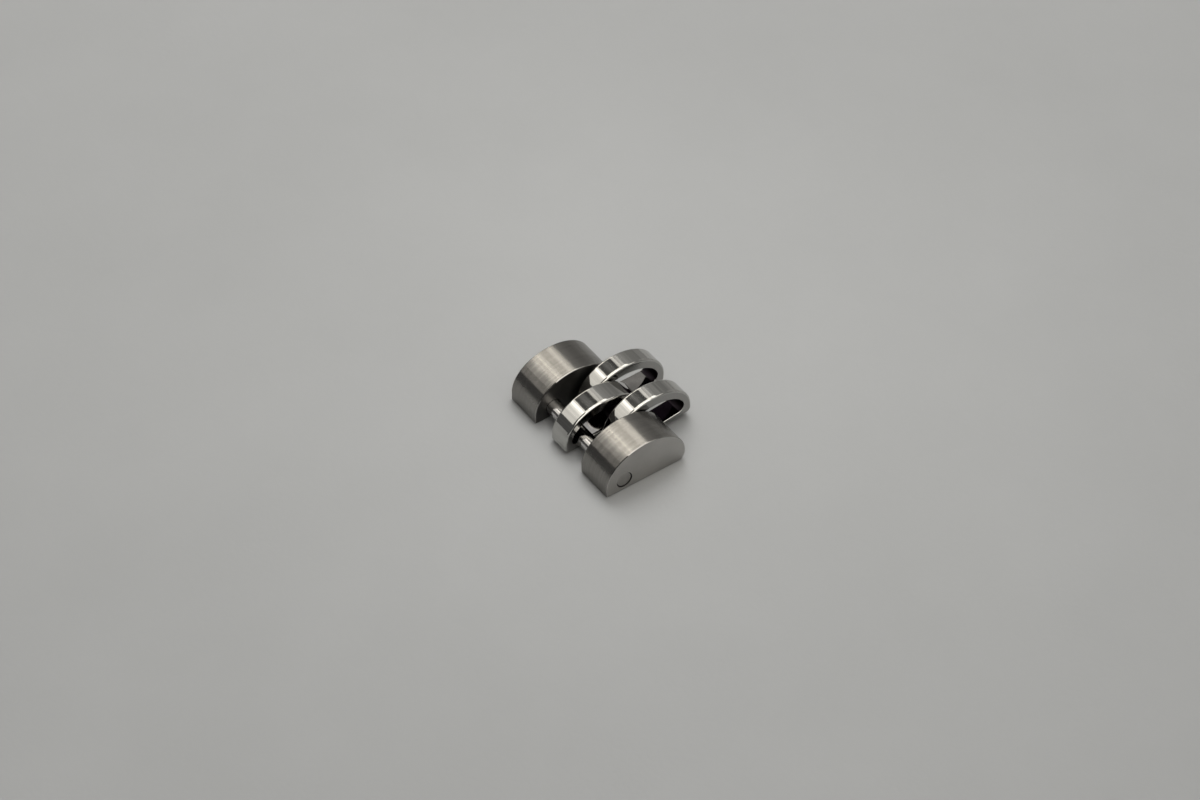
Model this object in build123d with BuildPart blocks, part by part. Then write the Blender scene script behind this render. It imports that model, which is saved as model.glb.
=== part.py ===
# One link of a five-piece metal watch bracelet: two wide outer links, a hollow centre bead
# between them, two loose flank beads behind it and the two pins that hold them together.
# Millimetres. X runs across the bracelet, Y along it towards the flank beads, Z up.
# The origin is the middle of the outer links' flat underside.
from build123d import *
import os

os.makedirs("parts", exist_ok=True)

# Overall sizes of the link
link_length = 6.37
link_height = 3.27
outer_width = 2.87
centre_width = 1.66
bead_gap = 1.80

# The rounded section shared by every link and bead
end_wall_height = 0.72
outer_rear_radius = 0.60
outer_front_radius = 0.12
outer_rim_radius = 0.09

# Pins, the holes round them and the metal left beyond the holes
pin_radius = 0.58
running_clearance = 0.03
link_pin_height = 0.87
link_front_cover = 0.825
hinge_pin_lift = 0.15
hinge_rear_cover = 0.44
pin_end_recess = 0.05
pin_end_chamfer = 0.12
blind_end_wall = 0.62
blind_bore_air = 0.10

# Hollow of the beads
rear_wall = 0.58
top_wall = 0.80
floor_wall = 0.55
hollow_spring_height = 0.32
hollow_corner_radius = 0.30
centre_limb_wall = 0.485
centre_corner_radius = 0.40
bead_rim_radius = 0.13

# Flank beads, and how far each has shifted and tilted on the hinge pin
flank_side_play = 0.19
flank_corner_radius = 0.45
flank_floor_wall = 0.33
flank_floor_slope = 4.0
flank_hollow_radius = 0.45
eye_front_reach = 0.90
eye_front_bite = 0.12
eye_floor_wall = 0.26
eye_play = 0.40
right_bead_shift = 0.13
left_bead_shift = 0.10
right_bead_tilt = 3.8
left_bead_tilt = -2.2

# Derived sizes of the section and the row
half_turn = 180
half_length = link_length / 2
arch_rise = link_height - end_wall_height
section_reach = link_length + link_height
row_width = 2 * outer_width + 2 * bead_gap + centre_width
outer_offset = row_width / 2 - outer_width / 2
gap_middle = centre_width / 2 + bead_gap / 2

# Derived sizes of the pins
bore_radius = pin_radius + running_clearance
link_pin_setback = half_length - link_front_cover - bore_radius
link_pin_length = row_width - 2 * pin_end_recess
hinge_pin_setback = half_length - hinge_rear_cover - pin_radius
hinge_pin_height = link_pin_height + hinge_pin_lift
blind_bore_depth = outer_width - blind_end_wall
hinge_pin_length = centre_width + 2 * bead_gap + 2 * blind_bore_depth - 2 * blind_bore_air

# Derived sizes of the beads
hollow_half_length = half_length - rear_wall
hollow_centre_height = floor_wall + hollow_spring_height
hollow_rise = link_height - top_wall - hollow_centre_height
centre_hollow_end = hinge_pin_setback - pin_radius - centre_limb_wall
flank_width = bead_gap - 2 * flank_side_play
hollow_front_edge = eye_front_reach + bore_radius - eye_front_bite
eye_height = eye_floor_wall + bore_radius
eye_middle = -eye_front_reach + eye_play / 2


# Outer link: a solid half-round block, bored through for the link pin
with BuildPart() as outer_link:
    with BuildSketch(Plane.YZ.offset(-outer_width / 2)) as outer_section:
        with BuildLine():
            Line((half_length, end_wall_height), (half_length, 0))
            Line((half_length, 0), (-half_length, 0))
            Line((-half_length, 0), (-half_length, end_wall_height))
            EllipticalCenterArc((0, end_wall_height), half_length, arch_rise, 0, arc_size=half_turn)
        make_face()
        fillet(outer_section.vertices().group_by(Axis.Y)[0].sort_by(Axis.X)[-1], outer_rear_radius)
        fillet(outer_section.vertices().group_by(Axis.Y)[0].sort_by(Axis.X)[0], outer_front_radius)
    extrude(amount=outer_width)
    fillet(outer_link.faces().sort_by(Axis.X)[-1].outer_wire().edges(), outer_rim_radius)
    # Hole for the link pin, right through
    with BuildSketch(Plane.YZ.offset(-outer_width / 2)):
        with Locations((-link_pin_setback, link_pin_height)):
            Circle(bore_radius)
    extrude(amount=outer_width, mode=Mode.SUBTRACT)
    # Blind hole in the inner face, where the end of the hinge pin is pressed in
    with BuildSketch(Plane.YZ.offset(-outer_width / 2)):
        with Locations((hinge_pin_setback, hinge_pin_height)):
            Circle(pin_radius)
    extrude(amount=blind_bore_depth, mode=Mode.SUBTRACT)

# Centre bead: a hollow loop, open at both sides, with a solid rear limb round the hinge pin
with BuildPart() as centre_bead:
    with BuildSketch(Plane.YZ.offset(-centre_width / 2)) as centre_section:
        with BuildLine():
            Line((half_length, end_wall_height), (half_length, 0))
            Line((half_length, 0), (-half_length, 0))
            Line((-half_length, 0), (-half_length, end_wall_height))
            EllipticalCenterArc((0, end_wall_height), half_length, arch_rise, 0, arc_size=half_turn)
        make_face()
        fillet(centre_section.vertices().group_by(Axis.Y)[0], centre_corner_radius)
    extrude(amount=centre_width)
    fillet(centre_bead.faces().sort_by(Axis.X)[-1].outer_wire().edges(), bead_rim_radius)
    fillet(centre_bead.faces().sort_by(Axis.X)[0].outer_wire().edges(), bead_rim_radius)
    # The hollow, cut flat at the floor and at the solid rear limb
    with BuildSketch(Plane.YZ.offset(-centre_width / 2)) as centre_hollow:
        with Locations((0, hollow_centre_height)):
            Ellipse(hollow_half_length, hollow_rise)
        with Locations((0, floor_wall)):
            Rectangle(section_reach, section_reach, align=(Align.CENTER, Align.MAX), mode=Mode.SUBTRACT)
        with Locations((centre_hollow_end, 0)):
            Rectangle(section_reach, section_reach, align=(Align.MIN, Align.CENTER), mode=Mode.SUBTRACT)
        fillet(centre_hollow.vertices(), hollow_corner_radius)
    extrude(amount=centre_width, mode=Mode.SUBTRACT)
    # Trough in the floor that clears the link pin
    with BuildSketch(Plane.YZ.offset(-centre_width / 2)):
        with Locations((-link_pin_setback, link_pin_height)):
            Circle(bore_radius)
    extrude(amount=centre_width, mode=Mode.SUBTRACT)
    # Hole for the hinge pin, a press fit
    with BuildSketch(Plane.YZ.offset(-centre_width / 2)):
        with Locations((hinge_pin_setback, hinge_pin_height)):
            Circle(pin_radius)
    extrude(amount=centre_width, mode=Mode.SUBTRACT)

# Flank bead: the same section, hollow behind its solid nose, with an eye that is longer than the pin
with BuildPart() as flank_bead:
    with BuildSketch(Plane.YZ.offset(-flank_width / 2)) as flank_section:
        with BuildLine():
            Line((half_length, end_wall_height), (half_length, 0))
            Line((half_length, 0), (-half_length, 0))
            Line((-half_length, 0), (-half_length, end_wall_height))
            EllipticalCenterArc((0, end_wall_height), half_length, arch_rise, 0, arc_size=half_turn)
        make_face()
        fillet(flank_section.vertices().group_by(Axis.Y)[0], flank_corner_radius)
    extrude(amount=flank_width)
    fillet(flank_bead.faces().sort_by(Axis.X)[-1].outer_wire().edges(), bead_rim_radius)
    fillet(flank_bead.faces().sort_by(Axis.X)[0].outer_wire().edges(), bead_rim_radius)
    # The hollow, cut flat behind the nose and along its floor, which rises a little to the rear
    with BuildSketch(Plane.YZ.offset(-flank_width / 2)) as flank_hollow:
        with Locations((0, hollow_centre_height)):
            Ellipse(hollow_half_length, hollow_rise, rotation=half_turn)
        with Locations(Location((0, flank_floor_wall), flank_floor_slope)):
            Rectangle(section_reach, section_reach, align=(Align.CENTER, Align.MAX), mode=Mode.SUBTRACT)
        with Locations((-hollow_front_edge, 0)):
            Rectangle(section_reach, section_reach, align=(Align.MAX, Align.CENTER), mode=Mode.SUBTRACT)
        fillet(flank_hollow.vertices().sort_by(Axis.Y)[1], flank_hollow_radius)
        fillet(flank_hollow.vertices().sort_by(Axis.Y)[0], bore_radius)
    extrude(amount=flank_width, mode=Mode.SUBTRACT)
    # The long eye for the hinge pin, let into the floor at the front of the hollow
    with BuildSketch(Plane.YZ.offset(-flank_width / 2)):
        with Locations((eye_middle, eye_height)):
            SlotCenterToCenter(eye_play, 2 * bore_radius)
    extrude(amount=flank_width, mode=Mode.SUBTRACT)

# Hinge pin: pressed into both outer links and the centre bead, ends out of sight
with BuildPart() as hinge_pin:
    with BuildSketch(Plane.YZ.offset(-hinge_pin_length / 2)):
        with Locations((hinge_pin_setback, hinge_pin_height)):
            Circle(pin_radius)
    extrude(amount=hinge_pin_length)
    chamfer(hinge_pin.edges().filter_by(GeomType.CIRCLE), pin_end_chamfer)

# Link pin: a plain straight pin that the next row of flank beads hangs on
with BuildPart() as link_pin:
    with BuildSketch(Plane.YZ.offset(-link_pin_length / 2)):
        with Locations((-link_pin_setback, link_pin_height)):
            Circle(pin_radius)
    extrude(amount=link_pin_length)
    chamfer(link_pin.edges().filter_by(GeomType.CIRCLE), pin_end_chamfer)


# The right outer link as built, and its mirror image on the left
outer_link_right = Pos(outer_offset, 0, 0) * outer_link.part
outer_link_left = mirror(outer_link_right, about=Plane.YZ)

# Each flank bead is set on the hinge pin, then tilted about it
hinge_right = Pos(gap_middle + right_bead_shift, hinge_pin_setback, hinge_pin_height) * Rot(right_bead_tilt, 0, 0)
hinge_left = Pos(left_bead_shift - gap_middle, hinge_pin_setback, hinge_pin_height) * Rot(left_bead_tilt, 0, 0)
flank_bead_right = hinge_right * Pos(0, eye_front_reach - eye_play, -eye_height) * flank_bead.part
flank_bead_left = hinge_left * Pos(0, eye_front_reach, -eye_height) * flank_bead.part

pieces = {
    "outer_link_right": outer_link_right,
    "outer_link_left": outer_link_left,
    "centre_bead": centre_bead.part,
    "flank_bead_right": flank_bead_right,
    "flank_bead_left": flank_bead_left,
    "hinge_pin": hinge_pin.part,
    "link_pin": link_pin.part,
}
for name, piece in pieces.items():
    piece.label = name
    export_step(piece, f"parts/{name}.step")
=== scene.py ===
# A watch bracelet link on a pale table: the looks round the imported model.
# X runs across the bracelet, Y along it and Z up. Materials, lamps and the table are in metres.
# The link's own pieces are shaped in millimetres and turned into metres when they are finished.
import math

import bmesh
import bpy
from mathutils import Matrix, Vector


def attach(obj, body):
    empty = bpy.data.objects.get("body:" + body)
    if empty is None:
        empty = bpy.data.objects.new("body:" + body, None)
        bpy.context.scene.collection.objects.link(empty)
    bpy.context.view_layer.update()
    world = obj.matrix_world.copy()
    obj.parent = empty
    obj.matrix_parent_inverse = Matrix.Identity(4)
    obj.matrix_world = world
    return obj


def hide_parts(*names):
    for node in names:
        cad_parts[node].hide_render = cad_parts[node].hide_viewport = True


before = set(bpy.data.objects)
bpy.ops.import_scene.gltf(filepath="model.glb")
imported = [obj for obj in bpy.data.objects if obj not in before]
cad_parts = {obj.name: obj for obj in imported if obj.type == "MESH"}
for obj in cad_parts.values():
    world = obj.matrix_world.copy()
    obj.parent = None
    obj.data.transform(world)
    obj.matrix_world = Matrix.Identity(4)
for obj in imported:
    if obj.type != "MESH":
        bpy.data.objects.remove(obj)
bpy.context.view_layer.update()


# Table: a large board of pale grey paper with a faint tooth and barely visible clouds.
# The link stands on it, a hair above its face.
table_half = 1.5
table_drop = 0.00001
table_grey = (0.43, 0.43, 0.42)
table_pale = (0.455, 0.455, 0.445)
tooth_depth = 0.00002
noise_low = 0.3
noise_high = 0.7


def as_object(shape, name):
    """Makes an object of a shape that is done with."""
    mesh = bpy.data.meshes.new(name)
    shape.to_mesh(mesh)
    shape.free()
    thing = bpy.data.objects.new(name, mesh)
    bpy.context.scene.collection.objects.link(thing)
    return thing


def tint(nodes, links, shader, value, dark, pale):
    """Lets the base colour wander between two shades with a noise."""
    ramp = nodes.new("ShaderNodeValToRGB")
    ramp.color_ramp.elements[0].position = noise_low
    ramp.color_ramp.elements[0].color = (*dark, 1)
    ramp.color_ramp.elements[1].position = noise_high
    ramp.color_ramp.elements[1].color = (*pale, 1)
    links.new(value, ramp.inputs["Fac"])
    links.new(ramp.outputs["Color"], shader.inputs["Base Color"])


def relief(nodes, links, shader, value, depth, under=None, strength=1):
    """A bump of the given depth in metres, on top of an earlier one where given."""
    bump = nodes.new("ShaderNodeBump")
    bump.inputs["Strength"].default_value = strength
    bump.inputs["Distance"].default_value = depth
    links.new(value, bump.inputs["Height"])
    if under:
        links.new(under.outputs["Normal"], bump.inputs["Normal"])
    links.new(bump.outputs["Normal"], shader.inputs["Normal"])
    return bump


board = bmesh.new()
bmesh.ops.create_grid(board, x_segments=1, y_segments=1, size=table_half)
bmesh.ops.translate(board, vec=(0, 0, -table_drop), verts=board.verts)
table = as_object(board, "table")
table_paint = bpy.data.materials.new("table board")
table_paint.use_nodes = True
nodes, links = table_paint.node_tree.nodes, table_paint.node_tree.links
shader = nodes["Principled BSDF"]
shader.inputs["Roughness"].default_value = 0.9
shader.inputs["Specular IOR Level"].default_value = 0.1
where = nodes.new("ShaderNodeTexCoord")
clouds = nodes.new("ShaderNodeTexNoise")
clouds.inputs["Scale"].default_value = 45
clouds.inputs["Detail"].default_value = 6
clouds.inputs["Roughness"].default_value = 0.62
tooth = nodes.new("ShaderNodeTexNoise")
tooth.inputs["Scale"].default_value = 2600
tooth.inputs["Detail"].default_value = 3
links.new(where.outputs["Object"], clouds.inputs["Vector"])
links.new(where.outputs["Object"], tooth.inputs["Vector"])
tint(nodes, links, shader, clouds.outputs["Fac"], table_grey, table_pale)
relief(nodes, links, shader, tooth.outputs["Fac"], tooth_depth, strength=0.5)
table.data.materials.append(table_paint)


# Studio: a dim room that is lighter behind the link, large soft boxes that the steel mirrors
# as bands, and three fills that only the table feels.
wall_tone = (1, 0.985, 0.95)
rear_wall = (0.42, 0.41, 0.395)
front_wall = (0.11, 0.11, 0.11)
wall_levels = (
    (0.20, 0.11),
    (0.36, 0.13),
    (0.43, 0.115),
    (0.50, 0.23),
    (0.55, 0.16),
    (0.59, 0.09),
    (0.63, 0.12),
    (0.70, 0.50),
    (0.765, 0.40),
    (0.82, 0.31),
    (0.885, 0.25),
    (0.915, 0.37),
)
room = bpy.data.worlds.new("studio room")
bpy.context.scene.world = room
room.use_nodes = True
nodes, links = room.node_tree.nodes, room.node_tree.links
nodes.clear()
out = nodes.new("ShaderNodeOutputWorld")
glow = nodes.new("ShaderNodeBackground")
toward = nodes.new("ShaderNodeTexCoord")
axes = nodes.new("ShaderNodeSeparateXYZ")
walls = nodes.new("ShaderNodeValToRGB")
spread = nodes.new("ShaderNodeMapRange")
spread.inputs["From Min"].default_value = -1
spread.inputs["From Max"].default_value = 1
links.new(toward.outputs["Generated"], axes.inputs["Vector"])
links.new(axes.outputs["Y"], spread.inputs["Value"])
links.new(spread.outputs["Result"], walls.inputs["Fac"])
blotch = nodes.new("ShaderNodeTexNoise")
blotch.inputs["Scale"].default_value = 7
blotch.inputs["Detail"].default_value = 4
uneven = nodes.new("ShaderNodeMapRange")
uneven.inputs["To Min"].default_value = 0.6
uneven.inputs["To Max"].default_value = 1.4
links.new(toward.outputs["Generated"], blotch.inputs["Vector"])
links.new(blotch.outputs["Fac"], uneven.inputs["Value"])
links.new(uneven.outputs["Result"], glow.inputs["Strength"])
links.new(walls.outputs["Color"], glow.inputs["Color"])
links.new(glow.outputs["Background"], out.inputs["Surface"])
ramp = walls.color_ramp
ramp.elements[0].position = 0
ramp.elements[0].color = (*front_wall, 1)
ramp.elements[1].position = 1
ramp.elements[1].color = (*rear_wall, 1)
for place, level in wall_levels:
    step = ramp.elements.new(place)
    step.color = (*(level * share for share in wall_tone), 1)


def soft_box(name, lean, turn, half_x, half_turn, radiance, colour, mirrored=True, away=0.5):
    """A soft box that faces the link. Mirrored boxes show in the steel, the others light the table.

    lean is the X share of the way to the box, turn its angle about X up from the rear horizon.
    """
    flat = math.sqrt(1 - lean * lean)
    way = Vector((lean, flat * math.cos(math.radians(turn)), flat * math.sin(math.radians(turn))))
    lamp = bpy.data.lights.new(name, "AREA")
    lamp.shape = "RECTANGLE"
    lamp.size = 2 * half_x * away
    lamp.size_y = 2 * math.tan(math.radians(half_turn)) * flat * away
    lamp.energy = radiance * math.pi * lamp.size * lamp.size_y
    lamp.color = colour
    box = bpy.data.objects.new(name, lamp)
    bpy.context.scene.collection.objects.link(box)
    across = Vector((1, 0, 0)) - way * way.x
    across.normalize()
    upward = way.cross(across)
    box.matrix_world = Matrix.Translation(way * away) @ Matrix(
        (
            (across.x, upward.x, way.x, 0),
            (across.y, upward.y, way.y, 0),
            (across.z, upward.z, way.z, 0),
            (0, 0, 0, 1),
        )
    )
    box.visible_camera = False
    box.visible_glossy = mirrored
    box.visible_diffuse = not mirrored


warm = (1.0, 0.965, 0.90)
warmer = (1.0, 0.955, 0.865)
white = (1, 1, 1)
# The polished beads mirror what lies at one lean. The satin steel gathers light on both sides
# of it too, so its boxes stand there, each lean with the boxes' half width. The numbers of a
# box are its lean, turn, half width, half turn and radiance.
bead_lean = -0.565
satin_leans = ((-0.387, 0.151), (-0.750, 0.189))
soft_box("left box", bead_lean, 119, 0.18, 10.5, 1.13, warm)
soft_box("left box lower half", bead_lean, 139.5, 0.08, 10, 1.06, warm)
soft_box("left box bright edge", bead_lean, 109.8, 0.08, 5.2, 0.85, warm)
soft_box("left box bright fringe", bead_lean, 112.5, 0.08, 7.5, 0.45, warm)
soft_box("rear strip", bead_lean, 70, 0.12, 3.0, 0.52, warm)
soft_box("rear strip fringe", bead_lean, 66.5, 0.12, 6.5, 0.38, warm)
for lean, half_x in satin_leans:
    soft_box("satin box rear", lean, 72, half_x, 12, 2.0, warmer)
    soft_box("satin box rear edge", lean, 64, half_x, 2, 1.7, warmer)
    soft_box("satin box front", lean, 96.3, half_x, 12.3, 2.6, warmer)
    soft_box("satin box bright line", lean, 96, half_x, 1.4, 2.2, warmer)
soft_box("top box", 0.169, 84, 0.437, 24, 1.9, warm)
soft_box("right box", 0.74, 104, 0.45, 38, 2.0, warm)
soft_box("right rear box", 0.60, 52, 0.30, 12, 1.0, warm)
soft_box("table dome", -0.10, 88, 1.0, 42, 0.637, white, mirrored=False, away=0.22)
soft_box("table key", -0.50, 70, 0.35, 16, 3.57, white, mirrored=False, away=0.35)
soft_box("table pool", -0.15, 76, 0.25, 14, 2.12, white, mirrored=False, away=0.045)


# Camera: a long lens that looks down on the link from its front right, as in the photograph.
# Colours are shown as they are written.
view = bpy.data.cameras.new("camera")
camera = bpy.data.objects.new("camera", view)
bpy.context.scene.collection.objects.link(camera)
bpy.context.scene.camera = camera
view.lens = 82.85
view.sensor_width = 36
view.clip_start = 0.005
view.clip_end = 10
camera.location = (0.102943, -0.075103, 0.132755)
camera.rotation_euler = (math.radians(44.4025), math.radians(-0.7193), math.radians(54.5558))
bpy.context.scene.view_settings.view_transform = "Standard"


# Outer links: two solid half-round blocks of stainless steel, mirror images of each other.
# The round back is satin brushed along the bracelet, the end faces are ground dull, the rims
# are eased, and the link pin's hole goes right through.
MM = 0.001
outer_width = 2.87
outer_middle = 4.065
half_length = 3.185
arch_rise = 2.55
wall_height = 0.72
outer_rear_round = 0.60
outer_front_round = 0.12
outer_rim = 0.09
pin_hole = 0.61
link_pin_at = (0, -1.75, 0.87)
hinge_pin_at = (0, 2.165, 1.02)
blind_bore_depth = 2.25
blind_overrun = 0.5
arch_steps = 320
shortest_step = 0.004
corner_steps = 16
rim_steps = 6
bar_steps = 96
bar_rim_steps = 5
hair = 1e-5
touch = 1e-4
sharp_edge_degrees = 50
onto_x = Matrix.Rotation(math.radians(90), 3, "Y")


def flat_ellipse(steps, reach, rise):
    """A flat ellipse in the plane across X, filled with one face."""
    outline = bmesh.new()
    bmesh.ops.create_circle(outline, cap_ends=True, segments=steps, radius=1)
    bmesh.ops.rotate(outline, matrix=onto_x, verts=outline.verts)
    bmesh.ops.scale(outline, vec=(1, reach, rise), verts=outline.verts)
    return outline


def trim(outline, place, way):
    """Cuts an outline along a plane and keeps the side that way points to."""
    bmesh.ops.bisect_plane(
        outline,
        geom=outline.verts[:] + outline.edges[:] + outline.faces[:],
        plane_co=place,
        plane_no=way,
        clear_inner=True,
    )


def draw_out(outline, width):
    """Draws a flat outline out along X into a closed block."""
    far = bmesh.ops.extrude_face_region(outline, geom=outline.faces[:])
    moved = [v for v in far["geom"] if isinstance(v, bmesh.types.BMVert)]
    bmesh.ops.translate(outline, vec=(width, 0, 0), verts=moved)
    open_edges = [e for e in outline.edges if len(e.link_faces) == 1]
    bmesh.ops.holes_fill(outline, edges=open_edges, sides=0)
    bmesh.ops.recalc_face_normals(outline, faces=outline.faces)


def ease(shape, geom, radius, steps, affect="EDGES"):
    """Rounds edges or corners over."""
    bmesh.ops.bevel(
        shape, geom=geom, offset=radius, segments=steps, profile=0.5, affect=affect, material=-1
    )


def level_edges(shape):
    """The edges that run in a plane across X."""
    return [e for e in shape.edges if abs(e.verts[0].co.x - e.verts[1].co.x) < hair]


def half_round(width, rear_round, front_round, rim):
    """A half-round block across X, with rounded lower corners and rims."""
    block = flat_ellipse(arch_steps, half_length, arch_rise)
    trim(block, (0, 0, 0), (0, 0, 1))
    bmesh.ops.translate(block, vec=(0, 0, wall_height), verts=block.verts)
    base = [e for e in block.edges if all(v.co.z < wall_height + hair for v in e.verts)]
    drop = bmesh.ops.extrude_edge_only(block, edges=base)
    corners = [v for v in drop["geom"] if isinstance(v, bmesh.types.BMVert)]
    bmesh.ops.translate(block, vec=(0, 0, -wall_height), verts=corners)
    bmesh.ops.dissolve_edges(block, edges=base, use_verts=False)
    bmesh.ops.remove_doubles(block, verts=block.verts, dist=shortest_step)
    for rearmost, radius in ((True, rear_round), (False, front_round)):
        bottom = sorted((v for v in block.verts if v.co.z < touch), key=lambda v: v.co.y)
        ease(block, [bottom[-1] if rearmost else bottom[0]], radius, corner_steps, "VERTICES")
    bmesh.ops.translate(block, vec=(-width / 2, 0, 0), verts=block.verts)
    draw_out(block, width)
    ease(block, level_edges(block), rim, rim_steps)
    return block


def round_bar(radius, length, place, rim=0):
    """A straight round bar across X, its ends rounded where rim is given."""
    bar = bmesh.new()
    bmesh.ops.create_cone(
        bar, cap_ends=True, segments=bar_steps, radius1=radius, radius2=radius, depth=length
    )
    bmesh.ops.rotate(bar, matrix=onto_x, verts=bar.verts)
    if rim:
        ease(bar, level_edges(bar), rim, bar_rim_steps)
    bmesh.ops.translate(bar, vec=place, verts=bar.verts)
    return bar


def bake(thing):
    """Keeps what the piece's modifiers do in a mesh of its own."""
    graph = bpy.context.evaluated_depsgraph_get()
    done = bpy.data.meshes.new_from_object(thing.evaluated_get(graph))
    thing.modifiers.clear()
    old = thing.data
    thing.data = done
    bpy.data.meshes.remove(old)


def carve(thing, cutters):
    """Cuts each cutter out of the piece for good."""
    for cutter in cutters:
        tool = as_object(cutter, "cutter")
        cut = thing.modifiers.new("cut", "BOOLEAN")
        cut.operation = "DIFFERENCE"
        cut.solver = "EXACT"
        cut.object = tool
        bake(thing)
        bpy.data.objects.remove(tool)


def finish_surface(thing):
    """Shades the piece smoothly, true to its large faces, and turns millimetres into metres."""
    for face in thing.data.polygons:
        face.use_smooth = True
    thing.data.set_sharp_from_angle(angle=math.radians(sharp_edge_degrees))
    even = thing.modifiers.new("even shading", "WEIGHTED_NORMAL")
    even.keep_sharp = True
    even.weight = 100
    bake(thing)
    thing.data.transform(Matrix.Scale(MM, 4))


def steel(name):
    """A new bare metal with its nodes, links and shader."""
    metal = bpy.data.materials.new(name)
    metal.use_nodes = True
    shader = metal.node_tree.nodes["Principled BSDF"]
    shader.inputs["Metallic"].default_value = 1
    return metal, metal.node_tree.nodes, metal.node_tree.links, shader


def grain(nodes, links, stretch, detail):
    """Noise in the piece's own metres, drawn out by stretch, a scale for X, Y and Z."""
    where = nodes.new("ShaderNodeTexCoord")
    along = nodes.new("ShaderNodeMapping")
    along.inputs["Scale"].default_value = stretch
    noise = nodes.new("ShaderNodeTexNoise")
    noise.inputs["Scale"].default_value = 1
    noise.inputs["Detail"].default_value = detail
    links.new(where.outputs["Object"], along.inputs["Vector"])
    links.new(along.outputs["Vector"], noise.inputs["Vector"])
    return noise.outputs["Fac"]


def between(nodes, links, value, low, high, start=noise_low, stop=noise_high):
    """Turns a value that runs from start to stop into one that runs from low to high."""
    spread = nodes.new("ShaderNodeMapRange")
    spread.inputs["From Min"].default_value = start
    spread.inputs["From Max"].default_value = stop
    spread.inputs["To Min"].default_value = low
    spread.inputs["To Max"].default_value = high
    links.new(value, spread.inputs["Value"])
    return spread.outputs["Result"]


# The satin back: fine lines along the bracelet, and duller towards the foot of the walls
satin_dark = (0.23, 0.221, 0.208)
satin_pale = (0.285, 0.276, 0.259)
brush_depth = 0.00000065
foot_roughness = 0.14
foot_top = 0.0009
back_start = 0.0022
satin_back, nodes, links, shader = steel("satin brushed steel")
shader.inputs["Anisotropic"].default_value = 0.9
shader.inputs["Anisotropic Rotation"].default_value = 0.25
flow = nodes.new("ShaderNodeTangent")
flow.direction_type = "RADIAL"
flow.axis = "X"
links.new(flow.outputs["Tangent"], shader.inputs["Tangent"])
brush = grain(nodes, links, (13000, 260, 260), 4)
tint(nodes, links, shader, brush, satin_dark, satin_pale)
brushed = relief(nodes, links, shader, brush, brush_depth)
patches = grain(nodes, links, (900, 500, 500), 2)
where = nodes.new("ShaderNodeTexCoord")
height = nodes.new("ShaderNodeSeparateXYZ")
links.new(where.outputs["Object"], height.inputs["Vector"])
foot = between(nodes, links, height.outputs["Z"], foot_roughness, 0, foot_top, back_start)
rougher = nodes.new("ShaderNodeMath")
links.new(between(nodes, links, patches, 0.19, 0.26), rougher.inputs[0])
links.new(foot, rougher.inputs[1])
links.new(rougher.outputs["Value"], shader.inputs["Roughness"])

# A few shallow pits from wear, gathered round one place on the right link's back
worn_place = (0.0037, -0.0008, 0.0031)
worn_within = 0.0004
worn_until = 0.0013
pit_depth = -0.0000026
pits = grain(nodes, links, (6500, 3400, 3400), 2)
pit = between(nodes, links, pits, 0, 1, 0.60, 0.74)
knock = nodes.new("ShaderNodeVectorMath")
knock.operation = "DISTANCE"
knock.inputs[1].default_value = worn_place
links.new(where.outputs["Object"], knock.inputs[0])
near = between(nodes, links, knock.outputs["Value"], 1, 0.03, worn_within, worn_until)
dings = nodes.new("ShaderNodeMath")
dings.operation = "MULTIPLY"
links.new(near, dings.inputs[0])
links.new(pit, dings.inputs[1])
relief(nodes, links, shader, dings.outputs["Value"], pit_depth, brushed)

# The other faces: ground ends, inner sides and hole walls painted near black as painted shade
# in the gaps, and rims that are bright all round but for a stretch over the front painted dark
# as a painted reflection of a dark room
end_dark = (0.389, 0.379, 0.365)
end_pale = (0.457, 0.447, 0.428)
grind_depth = 0.0000012
inner_shade_dark = (0.07, 0.068, 0.065)
inner_shade_pale = (0.13, 0.126, 0.121)
rim_colour = (0.32, 0.31, 0.295, 1)
rim_ripple = 0.0000008
rim_reflection_dark = (0.03, 0.029, 0.027)
rim_reflection_pale = (0.07, 0.067, 0.063)
ground_end, nodes, links, shader = steel("ground end face")
shader.inputs["Roughness"].default_value = 0.38
tint(nodes, links, shader, grain(nodes, links, (300, 420, 420), 4), end_dark, end_pale)
relief(nodes, links, shader, grain(nodes, links, (400, 1400, 9000), 3), grind_depth)

# Painted shade: the inner sides and hole walls are coloured near black for the shade in the gaps.
shaded_inner_side, nodes, links, shader = steel("inner side with painted shade")
shader.inputs["Roughness"].default_value = 0.42
tint(nodes, links, shader, grain(nodes, links, (500, 700, 700), 4), inner_shade_dark, inner_shade_pale)

eased_rim, nodes, links, shader = steel("eased rim steel")
shader.inputs["Roughness"].default_value = 0.15
shader.inputs["Base Color"].default_value = rim_colour
relief(nodes, links, shader, grain(nodes, links, (1200, 900, 900), 3), rim_ripple)

# Painted reflection: a stretch of the front rim is coloured near black for the dark room it
# mirrors.
painted_dark_rim, nodes, links, shader = steel("front rim painted dark reflection")
shader.inputs["Roughness"].default_value = 0.4
tint(nodes, links, shader, grain(nodes, links, (900, 700, 700), 4), rim_reflection_dark, rim_reflection_pale)

outer_finishes = [satin_back, ground_end, shaded_inner_side, eased_rim, painted_dark_rim]
# Shares of a face's normal that part end faces, rims and back, and where the rim's painted dark
# reflection runs
end_turn = 0.9
rim_turn = 0.15
hole_slack = 0.01
painted_rim_from = -1.5
painted_rim_to = -2.75


def outer_finish(face, side):
    """The steel that a face of an outer link shows. side is 1 on the right link, -1 on the left."""
    outward = side * face.normal.x
    from_pin = math.hypot(face.center.y - link_pin_at[1], face.center.z - link_pin_at[2])
    if from_pin < pin_hole + hole_slack and abs(outward) < rim_turn:
        return shaded_inner_side
    if outward > end_turn:
        return ground_end
    if outward < -end_turn:
        return shaded_inner_side
    if abs(outward) > rim_turn:
        return painted_dark_rim if painted_rim_to < face.center.y < painted_rim_from else eased_rim
    return satin_back


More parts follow.
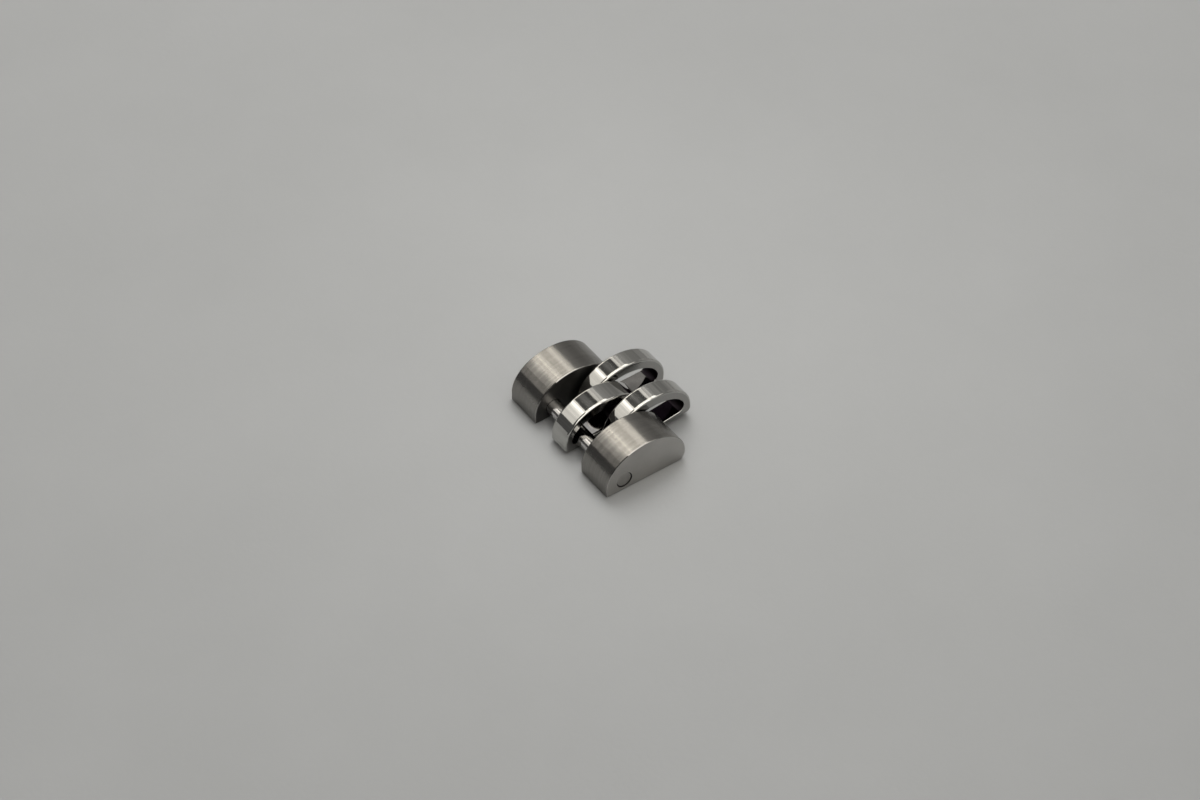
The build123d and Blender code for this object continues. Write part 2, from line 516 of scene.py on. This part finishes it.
for side, name in ((1, "outer_link_right"), (-1, "outer_link_left")):
    block = half_round(outer_width, outer_rear_round, outer_front_round, outer_rim)
    outer = as_object(block, name + "_satin")
    blind_middle = side * (blind_bore_depth - outer_width - blind_overrun)
    blind_at = (blind_middle, hinge_pin_at[1], hinge_pin_at[2])
    through_bore = round_bar(pin_hole, 2 * outer_width, link_pin_at)
    blind_bore = round_bar(pin_hole, outer_width + 2 * blind_overrun, blind_at)
    carve(outer, [through_bore, blind_bore])
    outer.data.transform(Matrix.Translation((side * outer_middle, 0, 0)))
    for finish in outer_finishes:
        outer.data.materials.append(finish)
    for face in outer.data.polygons:
        face.material_index = outer_finishes.index(outer_finish(face, side))
    finish_surface(outer)
    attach(outer, "frame")
    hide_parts(name)


# Centre bead: a polished hollow loop of the same half-round section, open at both sides, with a
# solid rear limb that grips the hinge pin and a trough that clears the link pin. The outside is
# a mirror, the sides are fine ground, the floor is bare and the rest of the hollow is painted near
# black as painted shade.
centre_width = 1.66
centre_round = 0.40
centre_hollow_end = 1.10
bead_rim = 0.18
mouth_rim = 0.045
mouth_steps = 3
square_edge_radians = 1.2
hollow_half_length = 2.605
hollow_rise = 1.60
hollow_middle = 0.87
hollow_floor = 0.55
hollow_corner = 0.30
hollow_steps = 240
hollow_corner_steps = 14
corner_slack = 1e-3
bead_hole = 0.61


def round_corner(outline, corner, radius):
    """Rounds one corner of a flat outline, once the short steps beside it have made way."""
    beside = 1.1 * radius
    steps = [v for v in outline.verts if v is not corner and (v.co - corner.co).length < beside]
    if steps:
        bmesh.ops.dissolve_verts(outline, verts=steps)
    ease(outline, [corner], radius, hollow_corner_steps, "VERTICES")


def hollow(width, front, rear, floor, slope, corners):
    """The shape of a bead's hollow: an arch over a flat floor, cut off at front and rear."""
    rise = math.tan(math.radians(slope))
    core = flat_ellipse(hollow_steps, hollow_half_length, hollow_rise)
    bmesh.ops.translate(core, vec=(-width, 0, hollow_middle), verts=core.verts)
    trim(core, (0, 0, floor), (0, -rise, 1))
    trim(core, (0, front, 0), (0, 1, 0))
    trim(core, (0, rear, 0), (0, -1, 0))
    for which, radius in corners:
        low = [v for v in core.verts if v.co.z < floor + v.co.y * rise + corner_slack]
        if which == "front":
            corner = min(low, key=lambda v: v.co.y)
        elif which == "rear":
            corner = max(low, key=lambda v: v.co.y)
        else:
            rearmost = [v for v in core.verts if v.co.y > rear - corner_slack]
            corner = max(rearmost, key=lambda v: v.co.z)
        round_corner(core, corner, radius)
    draw_out(core, 2 * width)
    return core


def soften_mouths(shape, half_width):
    """Rounds the square edges where a hole or hollow opens on a side face."""
    square = [
        e
        for e in shape.edges
        if len(e.link_faces) == 2
        and all(abs(abs(v.co.x) - half_width) < touch for v in e.verts)
        and e.calc_face_angle(0) > square_edge_radians
    ]
    ease(shape, square, mouth_rim, mouth_steps)


mirror_dark = (0.41, 0.405, 0.387)
mirror_pale = (0.51, 0.505, 0.483)
wave_depth = 0.000004
scratch_depth = 0.0000001
mirror_steel, nodes, links, shader = steel("polished steel")
wear = grain(nodes, links, (1500, 1500, 1500), 5)
links.new(between(nodes, links, wear, 0.035, 0.085), shader.inputs["Roughness"])
streaks = grain(nodes, links, (150, 4200, 4200), 3)
tint(nodes, links, shader, streaks, mirror_dark, mirror_pale)
waves = grain(nodes, links, (900, 1200, 1200), 2)
wavy = relief(nodes, links, shader, waves, wave_depth)
scratches = grain(nodes, links, (22000, 1500, 1500), 2)
relief(nodes, links, shader, scratches, scratch_depth, wavy)

side_colour = (0.325, 0.32, 0.307, 1)
side_wave_depth = 0.000003
side_steel, nodes, links, shader = steel("fine ground bead side")
shader.inputs["Roughness"].default_value = 0.11
shader.inputs["Base Color"].default_value = side_colour
relief(nodes, links, shader, grain(nodes, links, (900, 1200, 1200), 2), side_wave_depth)

# Painted shade: the inner arch of every bead is coloured near black for the shade inside the loop.
arch_shade_dark = (0.006, 0.0048, 0.0064)
arch_shade_pale = (0.018, 0.015, 0.018)
painted_shade_arch, nodes, links, shader = steel("inner arch painted shade")
shader.inputs["Roughness"].default_value = 0.3
shader.inputs["Specular Tint"].default_value = (0.5, 0.45, 0.5, 1)
tint(nodes, links, shader, grain(nodes, links, (1200, 900, 900), 4), arch_shade_dark, arch_shade_pale)

smear_depth = 0.0000015


def floor_steel(name, dark, pale, roughness):
    """Bare steel of a hollow's floor, smeared between two shades."""
    metal, nodes, links, shader = steel(name)
    shader.inputs["Roughness"].default_value = roughness
    shader.inputs["Specular Tint"].default_value = (0.6, 0.58, 0.6, 1)
    smear = grain(nodes, links, (900, 1300, 1300), 4)
    tint(nodes, links, shader, smear, dark, pale)
    relief(nodes, links, shader, smear, smear_depth)
    return metal


# Shares of a face's normal that tell how it is turned, how deep under the outside the hollow
# begins, and where the floor starts behind the link pin's trough
side_turn = 0.99
level_turn = 0.97
crosswise = 0.1
shell = 0.2
foot_shell = 0.15
floor_from = -1.2


def bead_finish(face, floor_finish):
    """The steel that a face of a bead shows, told by its place and by how it is turned."""
    middle = face.calc_center_median()
    along = middle.y / (half_length - shell)
    up = max(middle.z - wall_height, 0) / (arch_rise - shell)
    inside = abs(face.normal.x) < crosswise and along**2 + up**2 < 1 and middle.z > foot_shell
    if abs(face.normal.x) > side_turn:
        return side_steel
    if not inside:
        return mirror_steel
    if face.normal.z > level_turn and middle.y > floor_from:
        return floor_finish
    return painted_shade_arch


def dress_bead(bead, width, floor_finish):
    """Softens a bead's mouths and gives each of its faces the right steel."""
    shape = bmesh.new()
    shape.from_mesh(bead.data)
    soften_mouths(shape, width / 2)
    finishes = [mirror_steel, floor_finish, painted_shade_arch, side_steel]
    bead.data.materials.clear()
    for finish in finishes:
        bead.data.materials.append(finish)
    for face in shape.faces:
        face.material_index = finishes.index(bead_finish(face, floor_finish))
    shape.to_mesh(bead.data)
    shape.free()


centre_floor = floor_steel("bright floor steel", (0.26, 0.255, 0.255), (0.39, 0.38, 0.385), 0.06)
centre_block = half_round(centre_width, centre_round, centre_round, bead_rim)
centre = as_object(centre_block, "centre_bead_polished")
centre_corners = (("front", hollow_corner), ("rear", hollow_corner), ("top", hollow_corner))
carve(
    centre,
    [
        hollow(centre_width, -half_length, centre_hollow_end, hollow_floor, 0, centre_corners),
        round_bar(bead_hole, 2 * centre_width, link_pin_at),
        round_bar(bead_hole, 2 * centre_width, hinge_pin_at),
    ],
)
dress_bead(centre, centre_width, centre_floor)
finish_surface(centre)
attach(centre, "frame")
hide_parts("centre_bead")


# Flank beads: two polished loops like the centre bead, a little narrower, hung loose on the
# hinge pin. Each has an eye that is longer than the pin is thick, so they have shifted and
# tipped their own way. The right one's floor is painted almost black, as painted shade deeper
# than the left one's.
flank_width = 1.42
flank_round = 0.45
flank_floor = 0.33
flank_floor_slope = 4.0
flank_hollow_front = -1.39
flank_rear_corner = 0.45
flank_front_corner = 0.61
eye_place = (0, -0.90, 0.87)
eye_play = 0.40
right_place, right_tilt = 1.86, 3.8
left_place, left_tilt = -1.63, -2.2
flank_corners = (("rear", flank_rear_corner), ("front", flank_front_corner))
left_floor = floor_steel("bare floor steel", (0.125, 0.122, 0.12), (0.185, 0.181, 0.176), 0.07)
# Painted shade: the right bead's floor is a near black copy of the left one's bare floor steel.
right_floor_painted_shade = floor_steel(
    "floor steel painted deep shade", (0.008, 0.0055, 0.0085), (0.016, 0.0115, 0.018), 0.10
)
for name, body, place_x, tilt, play, floor_finish in (
    ("flank_bead_right", "flank_right", right_place, right_tilt, eye_play, right_floor_painted_shade),
    ("flank_bead_left", "flank_left", left_place, left_tilt, 0, left_floor),
):
    loop = half_round(flank_width, flank_round, flank_round, bead_rim)
    bead = as_object(loop, name + "_polished")
    eye = round_bar(bead_hole, 2 * flank_width, eye_place)
    rear_half = [v for v in eye.verts if v.co.y > eye_place[1]]
    bmesh.ops.translate(eye, vec=(0, eye_play, 0), verts=rear_half)
    space = hollow(
        flank_width, flank_hollow_front, half_length, flank_floor, flank_floor_slope, flank_corners
    )
    carve(bead, [space, eye])
    dress_bead(bead, flank_width, floor_finish)
    bead.data.transform(
        Matrix.Translation((place_x, hinge_pin_at[1], hinge_pin_at[2]))
        @ Matrix.Rotation(math.radians(tilt), 4, "X")
        @ Matrix.Translation((0, -eye_place[1] - play, -eye_place[2]))
    )
    finish_surface(bead)
    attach(bead, body)
    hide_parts(name)


# Pins: two plain straight pins of drawn steel with ground ends. The front one slides out to
# the right, the rear one is pressed in and ends inside the outer links.
pin_radius = 0.58
pin_end_round = 0.07
link_pin_length = 10.9
hinge_pin_length = 9.56
drawn_dark = (0.43, 0.42, 0.41)
drawn_pale = (0.57, 0.56, 0.545)
drawn_depth = 0.0000012
drawn_steel, nodes, links, shader = steel("drawn pin steel")
drawn = grain(nodes, links, (250, 9000, 9000), 3)
links.new(between(nodes, links, drawn, 0.08, 0.2), shader.inputs["Roughness"])
tint(nodes, links, shader, drawn, drawn_dark, drawn_pale)
relief(nodes, links, shader, drawn, drawn_depth)

pin_end_dark = (0.35, 0.341, 0.325)
pin_end_pale = (0.43, 0.42, 0.40)
cut_end, nodes, links, shader = steel("ground pin end")
shader.inputs["Roughness"].default_value = 0.34
tint(nodes, links, shader, grain(nodes, links, (900, 1700, 1700), 3), pin_end_dark, pin_end_pale)
relief(nodes, links, shader, grain(nodes, links, (400, 1400, 9000), 3), grind_depth)

pin_finishes = [drawn_steel, cut_end]
for name, body, length, place in (
    ("link_pin", "pin", link_pin_length, link_pin_at),
    ("hinge_pin", "frame", hinge_pin_length, hinge_pin_at),
):
    pin = as_object(round_bar(pin_radius, length, place, pin_end_round), name + "_drawn")
    for finish in pin_finishes:
        pin.data.materials.append(finish)
    for face in pin.data.polygons:
        shown = cut_end if abs(face.normal.x) > end_turn else drawn_steel
        face.material_index = pin_finishes.index(shown)
    finish_surface(pin)
    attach(pin, body)
    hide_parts(name)
